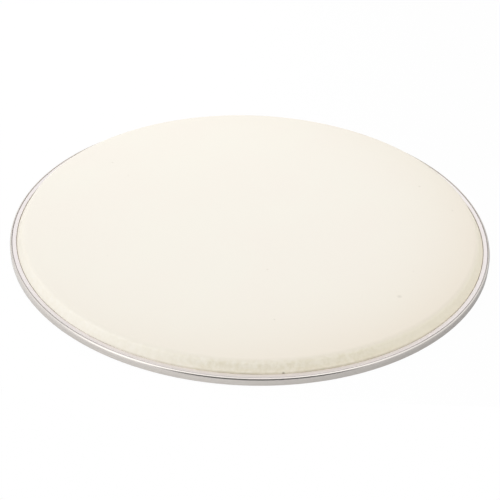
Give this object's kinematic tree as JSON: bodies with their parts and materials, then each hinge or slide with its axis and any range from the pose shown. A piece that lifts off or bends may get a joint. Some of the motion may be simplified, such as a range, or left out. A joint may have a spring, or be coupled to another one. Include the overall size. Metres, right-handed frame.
{
  "type": "drum head",
  "caption": "Round coated drum head: a cream polyester film with a raised collar, bonded and crimped into a flat aluminium hoop that fits over a drum shell.",
  "frame": {"origin": "on the hoop's axis, in the plane that the hoop's foot rests on", "axes": "+Z along the hoop's axis, from the foot up to the playing surface; the channel's butt seam lies towards +Y"},
  "size_m": [0.474, 0.474, 0.0175],
  "materials": {
    "hoop_aluminium": "satin",
    "ring_aluminium": "satin",
    "coated_film": "matte",
    "cured_adhesive": "satin"
  },
  "bodies": {
    "root": {"hoop_channel": "hoop_aluminium", "locking_ring": "ring_aluminium", "drum_film": "coated_film", "bedding_adhesive": "cured_adhesive", "ring_adhesive": "cured_adhesive"}
  },
  "joints": []
}
